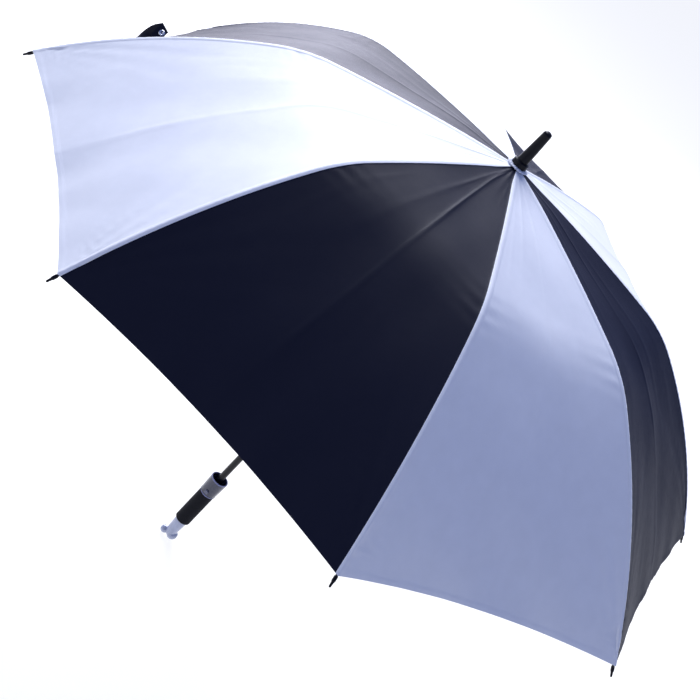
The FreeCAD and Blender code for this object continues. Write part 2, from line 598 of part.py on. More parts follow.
yoke = doc.addObject("PartDesign::Body", "release_yoke")
yoke_outline = slot_shape(yoke, "yoke_outline", "Dims.yoke_edge", "-Dims.yoke_shift", "0")
doc.recompute()
yoke_pad = yoke.newObject("PartDesign::Pad", "yoke_pad")
yoke_pad.Profile = yoke_outline
bind(yoke_pad, Length="Dims.yoke_thickness")
yoke.Tip = yoke_pad
doc.recompute()
yoke_slot = slot_shape(yoke, "yoke_slot", "Dims.yoke_hole", "-Dims.yoke_shift", "0")
doc.recompute()
yoke_pocket = yoke.newObject("PartDesign::Pocket", "yoke_pocket")
yoke_pocket.Profile = yoke_slot
yoke_pocket.Type = "ThroughAll"
yoke_pocket.Midplane = True
yoke.Tip = yoke_pocket
yoke.Placement.Base = Vector(0, 0, size("button_high") - size("yoke_thickness") / 2)
doc.recompute()
stem_start = size("yoke_edge") + size("yoke_shift") - 0.6
button_reach = size("cup_radius_low") + 0.4 + size("button_proud") - stem_start
button_stem = cylinder("button_stem", "Dims.button_radius", f"{button_reach}",
                       Vector(0, -stem_start, size("button_high")), button_turn)
button_blank = fuse("button_blank", [yoke, button_stem])
release_button = doc.addObject("Part::Fillet", "release_button")
release_button.Base = button_blank
doc.recompute()
rim = [number for number, edge in enumerate(button_blank.Shape.Edges, start=1)
       if abs(edge.BoundBox.YMin - edge.BoundBox.YMax) < 1e-6
       and edge.BoundBox.YMax < -size("cup_radius_low")]
release_button.Edges = [(number, 0.9, 0.9) for number in rim]

return_line = doc.addObject("Part::Helix", "button_spring_line")
return_line.Pitch = 0.85
return_line.Height = 2.55
return_line.Radius = 2.0
return_ring = doc.addObject("Part::Circle", "button_spring_ring")
return_ring.Radius = 0.22
return_ring.Placement = Placement(Vector(2.0, 0, 0), Rotation(Vector(0, 0, 1), Vector(0, 1, 0)))
button_spring = doc.addObject("Part::Sweep", "button_spring")
button_spring.Sections = [return_ring]
button_spring.Spine = (return_line, [])
button_spring.Solid = True
button_spring.Frenet = True
button_spring.Placement = Placement(Vector(0, size("yoke_edge") + 0.35, size("button_high")), TANGENT)


def oval_sketch(body, name, height, half_long, half_short):
    """An ellipse round the shaft's axis at a height, with its long axis along X."""
    sketch = body.newObject("Sketcher::SketchObject", name)
    sketch.AttachmentSupport = (plane_of(body, "XY_Plane"), [""])
    sketch.MapMode = "FlatFace"
    sketch.AttachmentOffset = Placement(Vector(0, 0, height), Rotation())
    sketch.addGeometry(Part.Ellipse(Vector(half_long, 0, 0), Vector(0, half_short, 0), Vector()), False)
    return sketch


knob_body = doc.addObject("PartDesign::Body", "knob_body")
neck, half = size("knob_neck"), size("knob_half")
knob_rings = [oval_sketch(knob_body, f"knob_ring_{k}", high, long, short)
              for k, (high, long, short) in enumerate((
                  (size("grip_low") - 0.2, neck + 0.02, neck),
                  (size("grip_low") - 14, neck - 0.3, neck - 0.5),
                  (24.0, neck + 0.6, neck - 1.2),
                  (13.0, half - 0.6, neck - 2.6),
                  (6.5, half, neck - 3.2),
                  (1.4, half - 2.0, neck - 5.0),
                  (0.0, half - 4.6, neck - 7.4)))]
doc.recompute()
knob_loft = knob_body.newObject("PartDesign::AdditiveLoft", "knob_loft")
knob_loft.Profile = knob_rings[0]
knob_loft.Sections = knob_rings[1:]
knob_body.Tip = knob_loft
knob_body.Placement.Rotation = Rotation(Vector(0, 0, 1), size("knob_turn"))
doc.recompute()
knob_socket = cylinder("knob_socket", "Dims.handle_core + Dims.snug", "30",
                       Vector(0, 0, size("shaft_low") - 6.1))
saddle = cylinder("knob_saddle", "11", "50", Vector(0, -25, -7.2), TANGENT)
saddle.Placement = Placement(Vector(), Rotation(Vector(0, 0, 1), size("knob_turn"))) * saddle.Placement
end_knob = cut("end_knob", knob_body, fuse("knob_hollows", [knob_socket, saddle]))


# ---------------------------------------------------------------- canopy panels
def ridge(share, above):
    """(out, high, slope) on the line above a rib at a share of the cloth's length."""
    start_out = size("rod_start_out") - size("cloth_inner")
    start_straight = start_out / math.cos(math.radians(size("slope_crown")))
    pieces = [
        (size("slope_crown"), size("slope_crown"), start_straight),
        (size("slope_crown"), size("slope_near"), size("near_length")),
        (size("slope_near"), size("slope_joint"), size("bend_length")),
        (size("slope_joint"), size("slope_far"), size("bend_length")),
        (size("slope_far"), size("slope_tip"), size("far_length")),
    ]
    point = off_line(ROD_START, size("slope_crown"), -start_straight, 0)
    left = share * sum(length for _, _, length in pieces)
    for slope_from, slope_to, length in pieces:
        step = min(left, length)
        slope = slope_from + (slope_to - slope_from) * step / length
        if step > 0:
            if slope_to > slope_from:
                point = bent(point, slope_from, slope, step)
            else:
                point = off_line(point, slope_from, step, 0)
        left -= step
        if left <= 0:
            break
    out, high = off_line(point, slope, 0, above)
    return out, high, slope


CLOTH_LENGTH = (size("near_length") + 2 * size("bend_length") + size("far_length")
                + (size("rod_start_out") - size("cloth_inner")))
HALF_STEP = math.radians(STEP / 2)


def cloth_point(share, across, above):
    """A point of a panel whose middle lies along +X; across runs from -1 to 1, rib to rib."""
    fall = 1 - across * across
    length = share * (1 - size("hem_inset") / CLOTH_LENGTH * fall)
    out, high, slope = ridge(length, size("rod_radius") + size("cloth_clearance"))
    half_span = out * math.sin(HALF_STEP) - size("seam_gap") / math.cos(HALF_STEP)
    middle_slope = math.atan2(math.sin(math.radians(slope)),
                              math.cos(math.radians(slope)) * math.cos(HALF_STEP))
    up = Vector(math.sin(middle_slope), 0, math.cos(middle_slope))
    flat = Vector(out * math.cos(HALF_STEP), across * half_span, high)
    return flat + up * (above - size("cloth_sag") * half_span * fall)


def cloth_surface(above):
    # rows stand closer together round the bend at the stretcher joint
    shares = [0.0, 0.06, 0.14, 0.22, 0.30, 0.37, 0.42, 0.46,
              0.50, 0.55, 0.62, 0.70, 0.78, 0.86, 0.93, 1.0]
    acrosses = [-1 + k / 4 for k in range(9)]
    rows = []
    for share in shares:
        rows.append([cloth_point(share, across, above) for across in acrosses])
    surface = Part.BSplineSurface()
    surface.interpolate(rows)
    return surface


def panel_solid():
    """The closed solid between a panel's under side and its upper side."""
    under, upper = cloth_surface(0.0), cloth_surface(size("cloth_thickness"))
    faces = [under.toShape(), upper.toShape()]
    first_u, last_u, first_v, last_v = under.bounds()
    for pick in (lambda skin: skin.uIso(first_u), lambda skin: skin.uIso(last_u),
                 lambda skin: skin.vIso(first_v), lambda skin: skin.vIso(last_v)):
        faces.append(Part.makeRuledSurface(pick(under).toShape(), pick(upper).toShape()))
    skin = Part.makeShell(faces)
    skin.sewShape()
    solid = Part.makeSolid(skin)
    if solid.Volume < 0:
        solid.reverse()
    return solid


panel = doc.addObject("Part::Feature", "canopy_panel")
panel.Shape = panel_solid()

# ---------------------------------------------------------------- tie strap and snap
# the strap is sewn to the hem near the middle of panel 8, which lies along -X
hem_point = cloth_point(1.0, size("strap_place"), 0.0)
hem_slope = math.radians(size("slope_tip"))
strap_in = Vector(math.cos(hem_slope), 0, math.sin(hem_slope))
strap_out = Vector(-math.sin(hem_slope), 0, math.cos(hem_slope))
strap_start = Vector(-hem_point.x, hem_point.y, hem_point.z) + strap_out * size("strap_stand")
strap_curve = (
    (size("strap_rise"), size("strap_level"), size("strap_run")),
    (size("strap_level"), -size("strap_fall"), size("strap_fold")),
    (-size("strap_fall"), -size("strap_fall"), size("strap_flap")),
)


def strap_point(along, off):
    """A point beside the strap's middle line, which arches in over the cloth and turns down."""
    inward, outward, angle = 0.0, 0.0, 0.0
    for angle_from, angle_to, length in strap_curve:
        step = min(along, length)
        half_turn = math.radians(angle_from - angle_to) / 2 * step / length
        angle = math.radians(angle_from) - 2 * half_turn
        chord = step * math.sin(half_turn) / half_turn if half_turn else step
        inward += chord * math.cos(angle + half_turn)
        outward += chord * math.sin(angle + half_turn)
        along -= step
        if along <= 0:
            break
    inward -= off * math.sin(angle)
    outward += off * math.cos(angle)
    return strap_start + strap_in * inward + strap_out * outward


def strap_edges(off):
    """The edges beside the strap's middle line: two arcs and the straight end."""
    fold_start = size("strap_run")
    fold_end = fold_start + size("strap_fold")
    edges = []
    for begin, end in ((0, fold_start), (fold_start, fold_end)):
        through = [strap_point(where, off) for where in (begin, (begin + end) / 2, end)]
        edges.append(Part.Arc(*through).toShape())
    flap_end = strap_point(fold_end + size("strap_flap"), off)
    edges.append(Part.makeLine(strap_point(fold_end, off), flap_end))
    return edges


half_thick = size("strap_thickness") / 2
strap_length = size("strap_run") + size("strap_fold") + size("strap_flap")
strap_face = Part.Face(Part.Wire([
    *strap_edges(-half_thick),
    Part.makeLine(strap_point(strap_length, -half_thick), strap_point(strap_length, half_thick)),
    *reversed(strap_edges(half_thick)),
    Part.makeLine(strap_point(0, half_thick), strap_point(0, -half_thick)),
]))
strap_face.translate(Vector(0, -size("strap_width") / 2, 0))
tie_strap = doc.addObject("Part::Feature", "tie_strap")
tie_strap.Shape = strap_face.extrude(Vector(0, size("strap_width"), 0))

snap_body = turned("snap_turned", [
    ("1.2", "0"),
    ("Dims.snap_radius", "0"),
    ("Dims.snap_radius", "1"),
    ("Dims.snap_radius - 1", "2"),
    ("1.2", "2"),
])
snap_along = strap_length - size("snap_inset")
snap_normal = (strap_point(snap_along, 2) - strap_point(snap_along, 1)).normalize()
# the snap sits on the outer face of the strap's straight end
snap_body.Placement = Placement(strap_point(snap_along, half_thick + 0.02),
                                Rotation(Vector(0, 0, 1), snap_normal))

# ---------------------------------------------------------------- sub-parts and their files
pieces = {
    "shaft": shaft, "crown_notch": crown_notch, "notch_wire": notch_wire, "ferrule": ferrule,
    "ferrule_cap": ferrule_cap, "rosette": rosette, "stop_collar": stop_collar, "runner": runner,
    "runner_wire": runner_wire, "spring_plunger": spring_plunger, "main_spring": main_spring,
    "tip_cup": tip_cup, "release_button": release_button, "button_spring": button_spring,
    "handle_core": handle_core, "grip": grip, "end_knob": end_knob, "tie_strap": tie_strap,
    "snap_fastener": snap_body,
}
for name, master, first in (
    ("rib_inner", rib_inner, FIRST),
    ("rib_outer", rib_outer, FIRST),
    ("rib_tip", tip_body, FIRST),
    ("stretcher", stretcher, FIRST),
    ("canopy_panel", panel, FIRST + STEP / 2),
):
    for k, copy in enumerate(ring_of(name, master, COUNT, first, STEP), start=1):
        pieces[f"{name}_{k}"] = copy
for label, piece in pieces.items():
    piece.Label = label

doc.recompute()
for piece in doc.Objects:
    if "Invalid" in piece.State or "Error" in piece.State:
        raise RuntimeError(f"{piece.Label} could not be computed: {piece.State}")
for label, piece in pieces.items():
    if piece.Shape.isNull() or not piece.Shape.isValid():
        raise RuntimeError(f"{label} has no valid shape")

os.makedirs("parts", exist_ok=True)
for label, piece in pieces.items():
    piece.Shape.exportStep(f"parts/{label}.step")
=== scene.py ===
import math

import bmesh
import bpy
import numpy as np
from mathutils import Matrix, Vector


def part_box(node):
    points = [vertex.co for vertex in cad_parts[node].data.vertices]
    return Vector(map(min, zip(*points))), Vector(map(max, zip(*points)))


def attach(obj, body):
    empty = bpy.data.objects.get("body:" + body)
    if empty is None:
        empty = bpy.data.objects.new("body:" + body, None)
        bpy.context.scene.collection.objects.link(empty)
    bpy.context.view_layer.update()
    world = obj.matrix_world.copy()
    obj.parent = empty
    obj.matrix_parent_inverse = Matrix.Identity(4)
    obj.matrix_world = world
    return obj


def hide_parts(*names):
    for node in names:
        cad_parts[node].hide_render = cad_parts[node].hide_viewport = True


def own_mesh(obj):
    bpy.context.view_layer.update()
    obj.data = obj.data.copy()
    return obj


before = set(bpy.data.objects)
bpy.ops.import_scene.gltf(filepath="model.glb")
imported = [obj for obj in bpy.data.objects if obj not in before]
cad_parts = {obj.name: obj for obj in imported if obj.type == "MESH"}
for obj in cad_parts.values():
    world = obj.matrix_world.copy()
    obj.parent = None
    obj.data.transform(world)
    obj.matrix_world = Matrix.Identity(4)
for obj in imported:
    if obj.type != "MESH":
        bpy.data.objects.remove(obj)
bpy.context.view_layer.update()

# ------------------------------------------------------------------ camera, floor and light
CAMERA_AT = Vector((0.2433, -2.1422, 1.6145))
LOOK = Vector((-0.09726, 0.88685, -0.4517)).normalized()
PICTURE_RIGHT = Vector((0.68515, 0.38885, 0.61592))
FIELD_OF_VIEW = 26.58
SENSOR_WIDTH = 36.0
LIGHT_TARGET = Vector((0.0, 0.0, 0.75))
LIGHT_DISTANCE = 4.0
LIGHT_WIDTH = 3.0

scene = bpy.context.scene
scene.view_settings.view_transform = "Standard"


def link(obj):
    scene.collection.objects.link(obj)
    return obj


def aim(obj, at, look, right):
    """Places an object that looks along its own -Z."""
    side = (right - look * right.dot(look)).normalized()
    up = side.cross(look)
    turn = Matrix((side, up, -look)).transposed()
    obj.matrix_world = Matrix.Translation(at) @ turn.to_4x4()


camera_data = bpy.data.cameras.new("camera")
camera_data.sensor_width = SENSOR_WIDTH
camera_data.lens = SENSOR_WIDTH / 2 / math.tan(math.radians(FIELD_OF_VIEW / 2))
camera_data.clip_start = 0.05
camera_data.clip_end = 60.0
camera = link(bpy.data.objects.new("camera", camera_data))
aim(camera, CAMERA_AT, LOOK, PICTURE_RIGHT)
scene.camera = camera


def area_light(name, direction, strength, colour):
    """A round soft light that faces the canopy, on the side that direction points to."""
    data = bpy.data.lights.new(name, "AREA")
    data.shape = "DISK"
    data.size = LIGHT_WIDTH
    data.energy = strength
    data.color = colour
    light = link(bpy.data.objects.new(name, data))
    direction = direction.normalized()
    light.location = LIGHT_TARGET + direction * LIGHT_DISTANCE
    light.rotation_mode = "QUATERNION"
    light.rotation_quaternion = direction.to_track_quat("Z", "Y")


area_light("key_light", Vector((-0.55, 0.50, 0.67)), 235.0, (0.93, 0.95, 1.0))
area_light("back_light", Vector((-0.50, 0.82, 0.25)), 138.0, (0.86, 0.85, 1.0))

# a pale backdrop for the camera, and dim bluish air for everything that it lights
world = bpy.data.worlds.new("studio")
world.use_nodes = True
air = world.node_tree.nodes["Background"]
air.inputs["Color"].default_value = (0.15, 0.2, 0.42, 1.0)
backdrop = world.node_tree.nodes.new("ShaderNodeBackground")
backdrop.inputs["Color"].default_value = (0.95, 0.95, 0.955, 1.0)
rays = world.node_tree.nodes.new("ShaderNodeLightPath")
seen = world.node_tree.nodes.new("ShaderNodeMixShader")
world.node_tree.links.new(rays.outputs["Is Camera Ray"], seen.inputs[0])
world.node_tree.links.new(air.outputs[0], seen.inputs[1])
world.node_tree.links.new(backdrop.outputs[0], seen.inputs[2])
world.node_tree.links.new(seen.outputs[0], world.node_tree.nodes["World Output"].inputs["Surface"])
scene.world = world


# ------------------------------------------------------------------ materials
class Recipe:
    """A Principled material, with helpers for the nodes that vary it."""

    def __init__(self, name, colour, roughness, **settings):
        self.material = bpy.data.materials.new(name)
        self.material.use_nodes = True
        self.tree = self.material.node_tree
        self.shader = self.tree.nodes["Principled BSDF"]
        self.colour = colour
        self.roughness = roughness
        self.set("Base Color", (*colour, 1.0))
        self.set("Roughness", roughness)
        for key, value in settings.items():
            self.set(key.replace("_", " ").title().replace("Ior", "IOR"), value)
        coordinates = self.node("ShaderNodeTexCoord")
        self.place = coordinates.outputs["Object"]
        self.uv = coordinates.outputs["UV"]

    def set(self, socket, value):
        self.shader.inputs[socket].default_value = value

    def node(self, kind, **values):
        made = self.tree.nodes.new(kind)
        for key, value in values.items():
            setattr(made, key, value)
        return made

    def wire(self, start, end):
        self.tree.links.new(start, end)

    def noise(self, size, detail=3.0, rough=0.55, stretch=(1, 1, 1), source=None):
        """Noise whose features are about size metres across."""
        mapping = self.node("ShaderNodeMapping")
        mapping.inputs["Scale"].default_value = [factor / size for factor in stretch]
        self.wire(source or self.place, mapping.inputs["Vector"])
        texture = self.node("ShaderNodeTexNoise")
        texture.inputs["Scale"].default_value = 1.0
        texture.inputs["Detail"].default_value = detail
        texture.inputs["Roughness"].default_value = rough
        self.wire(mapping.outputs["Vector"], texture.inputs["Vector"])
        return texture.outputs["Fac"]

    def waves(self, pitch, axis, source=None):
        """Parallel rounded threads, pitch metres apart."""
        texture = self.node("ShaderNodeTexWave", wave_type="BANDS", bands_direction=axis)
        texture.inputs["Scale"].default_value = 2 * math.pi / (20 * pitch)
        self.wire(source or self.uv, texture.inputs["Vector"])
        return texture.outputs["Fac"]

    def maths(self, operation, a, b):
        made = self.node("ShaderNodeMath", operation=operation)
        for socket, value in zip(made.inputs, (a, b)):
            if isinstance(value, (int, float)):
                socket.default_value = value
            else:
                self.wire(value, socket)
        return made.outputs["Value"]

    def between(self, value, low, high):
        """Maps 0..1 onto low..high."""
        made = self.node("ShaderNodeMapRange")
        self.wire(value, made.inputs["Value"])
        made.inputs["To Min"].default_value = low
        made.inputs["To Max"].default_value = high
        return made.outputs["Result"]

    def tint(self, value, low, high):
        """Colours from low to high by value."""
        ramp = self.node("ShaderNodeValToRGB")
        ramp.color_ramp.elements[0].position = 0.3
        ramp.color_ramp.elements[1].position = 0.7
        ramp.color_ramp.elements[0].color = (*low, 1.0)
        ramp.color_ramp.elements[1].color = (*high, 1.0)
        self.wire(value, ramp.inputs["Fac"])
        self.wire(ramp.outputs["Color"], self.shader.inputs["Base Color"])
        return self

    def shade(self, value, spread):
        """Varies the base colour by a share of itself."""
        low = tuple(c * (1 - spread) for c in self.colour)
        high = tuple(min(1.0, c * (1 + spread)) for c in self.colour)
        return self.tint(value, low, high)

    def rough(self, value, spread):
        result = self.between(value, self.roughness - spread, self.roughness + spread)
        self.wire(result, self.shader.inputs["Roughness"])
        return self

    def bump(self, *layers):
        """Height layers, each (value, depth in metres), one on the other."""
        normal = None
        for value, depth in layers:
            made = self.node("ShaderNodeBump")
            made.inputs["Strength"].default_value = 1.0
            made.inputs["Distance"].default_value = depth
            self.wire(value, made.inputs["Height"])
            if normal is not None:
                self.wire(normal, made.inputs["Normal"])
            normal = made.outputs["Normal"]
        self.wire(normal, self.shader.inputs["Normal"])
        return self


def woven(name, colour, roughness, sheen, sheen_tint, specular):
    """Thin plain-woven polyester with a satin face."""
    cloth = Recipe(name, colour, roughness, sheen_weight=sheen, sheen_roughness=0.35,
                   sheen_tint=(*sheen_tint, 1.0), specular_ior_level=specular)
    threads = cloth.maths("ADD", cloth.waves(0.00042, "X"), cloth.waves(0.00036, "Y"))
    slubs = cloth.noise(0.004, stretch=(1, 8, 1), source=cloth.uv)
    crumple = cloth.noise(0.022, detail=4.0)
    cloth.bump((crumple, 0.0002), (slubs, 0.00002), (threads, 0.00001))
    cloth.shade(cloth.noise(0.03, detail=5.0), 0.02)
    cloth.rough(cloth.noise(0.012), 0.05)
    return cloth.material


def moulded(name, colour, roughness, **settings):
    """Injection-moulded plastic with a fine texture and faint handling marks."""
    plastic = Recipe(name, colour, roughness, **settings)
    grain = plastic.noise(0.0006, detail=2.0)
    plastic.bump((grain, 0.00002))
    plastic.shade(plastic.noise(0.01), 0.12)
    plastic.rough(plastic.noise(0.006, detail=4.0), 0.06)
    return plastic.material


WHITE = woven("canopy_white_cloth", (0.86, 0.875, 0.92), 0.5, 0.2, (0.9, 0.92, 1.0), 0.3)
NAVY = woven("canopy_navy_cloth", (0.0115, 0.013, 0.027), 0.5, 0.03, (0.5, 0.5, 0.8), 0.1)
BLACK_PLASTIC = moulded("black_moulded_plastic", (0.0025, 0.003, 0.007), 0.34,
                        specular_ior_level=0.2)


def painted_tube():
    paint = Recipe("black_painted_tube", (0.003, 0.003, 0.0065), 0.35, specular_ior_level=0.3,
                   coat_weight=0.1, coat_roughness=0.2)
    scratches = paint.noise(0.004, detail=6.0, stretch=(6, 6, 0.15))
    paint.bump((scratches, 0.000015))
    paint.rough(scratches, 0.1)
    paint.shade(paint.noise(0.02), 0.15)
    return paint.material


def fibreglass():
    glass = Recipe("black_fibreglass_rod", (0.012, 0.012, 0.016), 0.42)
    streaks = glass.noise(0.003, detail=5.0)
    glass.bump((streaks, 0.00002))
    glass.rough(streaks, 0.08)
    glass.shade(glass.noise(0.015), 0.2)
    return glass.material


def wire_metal(name, colour, roughness):
    metal = Recipe(name, colour, roughness, metallic=1.0)
    marks = metal.noise(0.0008, detail=5.0)
    metal.bump((marks, 0.000008))
    metal.rough(marks, 0.08)
    metal.shade(metal.noise(0.003), 0.08)
    return metal.material


def foam():
    cell_size = 0.0007
    rubber = Recipe("black_grip_foam", (0.0032, 0.0038, 0.0075), 0.85, sheen_weight=0.04,
                    sheen_roughness=0.6, specular_ior_level=0.2)
    cells = rubber.node("ShaderNodeTexVoronoi", feature="F1")
    cells.inputs["Scale"].default_value = 1 / cell_size
    rubber.wire(rubber.place, cells.inputs["Vector"])
    rubber.bump((rubber.noise(0.008), 0.00012), (cells.outputs["Distance"], 0.00012))
    rubber.shade(rubber.noise(0.005, detail=6.0), 0.25)
    rubber.rough(rubber.noise(0.003), 0.08)
    return rubber.material


SHAFT_PAINT = painted_tube()
FIBREGLASS = fibreglass()
SPRING_STEEL = wire_metal("drawn_spring_steel", (0.55, 0.56, 0.58), 0.3)
SNAP_METAL = wire_metal("bright_pressed_metal", (0.8, 0.81, 0.84), 0.18)
FOAM = foam()


def smoky_cup():
    """Glossy smoke-grey plastic, with painted rim light: paler colour at the cup's rim and foot ring."""
    painted_rim_light, dark = (0.17, 0.19, 0.38), (0.03, 0.035, 0.07)
    low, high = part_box("tip_cup")
    plastic = Recipe("smoky_grey_plastic", dark, 0.22, coat_weight=0.4, coat_roughness=0.1,
                     sheen_weight=0.2, sheen_roughness=0.3, sheen_tint=(0.6, 0.65, 1.0, 1.0))
    apart = plastic.node("ShaderNodeSeparateXYZ")
    plastic.wire(plastic.place, apart.inputs[0])
    up_the_cup = plastic.node("ShaderNodeMapRange")
    plastic.wire(apart.outputs["Z"], up_the_cup.inputs["Value"])
    up_the_cup.inputs["From Min"].default_value = low[2]
    up_the_cup.inputs["From Max"].default_value = high[2]
    ramp = plastic.node("ShaderNodeValToRGB")
    stops = ramp.color_ramp.elements
    # the pale stops at both ends of the cup are painted rim light, not the plastic's own colour
    for place, colour in ((0.04, painted_rim_light), (0.07, dark), (0.93, dark), (0.97, painted_rim_light)):
        stops.new(place).color = (*colour, 1.0)
    stops[0].color = stops[-1].color = (*painted_rim_light, 1.0)
    plastic.wire(up_the_cup.outputs["Result"], ramp.inputs["Fac"])
    plastic.wire(ramp.outputs["Color"], plastic.shader.inputs["Base Color"])
    plastic.bump((plastic.noise(0.0006, detail=2.0), 0.00001))
    plastic.rough(plastic.noise(0.006, detail=4.0), 0.06)
    return plastic.material


CUP_GREY = smoky_cup()
BUTTON_GREY = moulded("grey_button_plastic", (0.1, 0.11, 0.18), 0.25,
                      coat_weight=0.4, coat_roughness=0.1)
KNOB_WHITE = moulded("white_glossy_plastic", (0.4, 0.44, 0.6), 0.2,
                     coat_weight=0.7, coat_roughness=0.06)

NODE_MATERIALS = {
    "shaft": SHAFT_PAINT, "crown_notch": BLACK_PLASTIC, "notch_wire": SPRING_STEEL,
    "ferrule": BLACK_PLASTIC, "ferrule_cap": BLACK_PLASTIC, "stop_collar": BLACK_PLASTIC,
    "runner": BLACK_PLASTIC, "runner_wire": SPRING_STEEL, "spring_plunger": SPRING_STEEL,
    "main_spring": SPRING_STEEL, "tip_cup": CUP_GREY, "release_button": BUTTON_GREY,
    "button_spring": SPRING_STEEL, "handle_core": BLACK_PLASTIC, "grip": FOAM,
    "end_knob": KNOB_WHITE, "rosette": WHITE, "tie_strap": NAVY, "snap_fastener": SNAP_METAL,
}
# the nodes that have a number for each rib
FAMILY_MATERIALS = {
    "rib_inner": FIBREGLASS, "rib_outer": FIBREGLASS, "stretcher": FIBREGLASS,
    "rib_tip": BLACK_PLASTIC, "canopy_panel": NAVY,
}
for name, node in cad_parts.items():
    family = name.rstrip("0123456789").rstrip("_")
    node.data.materials.clear()
    node.data.materials.append(NODE_MATERIALS.get(name) or FAMILY_MATERIALS[family])

# ------------------------------------------------------------------ floor
FLOOR_REACH = 30.0
FLOOR_BELOW = 0.0005
floor_mesh = bpy.data.meshes.new("studio_floor")
floor_corners = [(x * FLOOR_REACH, y * FLOOR_REACH, 0) for x, y in ((-1, -1), (1, -1), (1, 1), (-1, 1))]
floor_mesh.from_pydata(floor_corners, [], [(0, 1, 2, 3)])
floor = link(bpy.data.objects.new("studio_floor", floor_mesh))
floor.location.z = -FLOOR_BELOW
floor_paint = Recipe("studio_floor_paint", (0.35, 0.35, 0.35), 0.9, emission_strength=0.84,
                     emission_color=(1.0, 1.0, 0.99, 1.0), specular_ior_level=0.0)
floor_paint.shade(floor_paint.noise(0.8), 0.01)
floor_mesh.materials.append(floor_paint.material)

# ------------------------------------------------------------------ the canopy's surface
RIBS = 8
RIB_STEP = 2 * math.pi / RIBS
FIRST_RIB = math.radians(-157.5)
HALF_STEP = RIB_STEP / 2
CLOTH_INNER = 0.012
# where a rib's rod starts: distance from the axis and height
ROD_START = (0.0196, 0.9357)
ABOVE_ROD = 0.0033
CLOTH_THICKNESS = 0.0005
SAG = 0.035
HEM_INSET = 0.013
# width of the white cloth that is folded over its ribs, on to the navy panels beside it
LAP = 0.0044
# the edge columns close up where half a panel is narrower than this
NARROW = 0.02
CROWN_SLOPE = 7.0
START_LENGTH = (ROD_START[0] - CLOTH_INNER) / math.cos(math.radians(CROWN_SLOPE))
# the rib's line from the cloth's inner edge: degrees below horizontal at the start and the end, length
STRETCHES = ((CROWN_SLOPE, CROWN_SLOPE, START_LENGTH), (CROWN_SLOPE, 12.4, 0.297),
             (12.4, 22.1, 0.045), (22.1, 31.8, 0.045), (31.8, 51.3, 0.364))
JOINT_AT = sum(length for _, _, length in STRETCHES[:3])
CLOTH_LENGTH = sum(length for _, _, length in STRETCHES)


def rib_table():
    """Distance along a rib's line, slope, distance from the axis and height, at close steps."""
    along = np.linspace(0, CLOTH_LENGTH, 3001)
    starts = np.cumsum([0.0] + [length for _, _, length in STRETCHES])
    slopes = np.interp(along, starts, [CROWN_SLOPE] + [last for _, last, _ in STRETCHES])
    slope = np.radians(slopes)
    middle = (slope[1:] + slope[:-1]) / 2
    step = np.diff(along)
    rise = START_LENGTH * math.sin(math.radians(CROWN_SLOPE))
    out = CLOTH_INNER + np.concatenate([[0], np.cumsum(np.cos(middle) * step)])
    high = ROD_START[1] + rise - np.concatenate([[0], np.cumsum(np.sin(middle) * step)])
    return along, slope, out, high


ALONG, SLOPE, OUT, HIGH = rib_table()


def rib_line(distance, above):
    """Distance from the axis, height and slope of the line above a rib."""
    slope = np.interp(distance, ALONG, SLOPE)
    out = np.interp(distance, ALONG, OUT) + above * np.sin(slope)
    high = np.interp(distance, ALONG, HIGH) + above * np.cos(slope)
    return out, high, slope


def half_span(distance):
    """Half the straight width between two ribs."""
    return rib_line(distance, ABOVE_ROD)[0] * math.sin(HALF_STEP)


def smooth(value, start, end):
    """Rises from 0 at start to 1 at end without a corner."""
    t = np.clip((value - start) / (end - start), 0, 1)
    return t * t * (3 - 2 * t)


def slack(share, panel):
    """How deep a panel hangs between its ribs, as a share of half its width.

    In the photo panel 3 hangs deeper all over, and panel 6, behind the ferrule, near the crown.
    """
    if panel == 3:
        return np.full_like(share, 0.075)
    if panel == 6:
        return SAG + 0.19 * smooth(share, 0.0, 0.1) * (1 - smooth(share, 0.36, 0.52))
    return np.full_like(share, SAG)


def taut(share, across, sagging):
    """The taut cloth with its panel's middle along +X: points and unit normals."""
    fall = 1 - across ** 2
    distance = share * (CLOTH_LENGTH - HEM_INSET * fall)
    out, high, slope = rib_line(distance, ABOVE_ROD)
    span = out * math.sin(HALF_STEP)
    tilt = np.arctan2(np.sin(slope), np.cos(slope) * math.cos(HALF_STEP))
    sag = sagging * span * fall
    points = np.stack([out * math.cos(HALF_STEP) - np.sin(tilt) * sag, across * span,
                       high - np.cos(tilt) * sag], -1)
    normals = np.stack([np.sin(tilt), np.zeros_like(tilt), np.cos(tilt)], -1)
    return points, normals


def dent(distance, width):
    """A rounded bump of height 1 at distance 0."""
    return np.exp(-(distance / width) ** 2)


def crease(phase):
    """A wave with rounded valleys and sharp crests, from -1 to 1."""
    return 1 - 2 * np.abs(np.sin(phase / 2)) ** 0.8


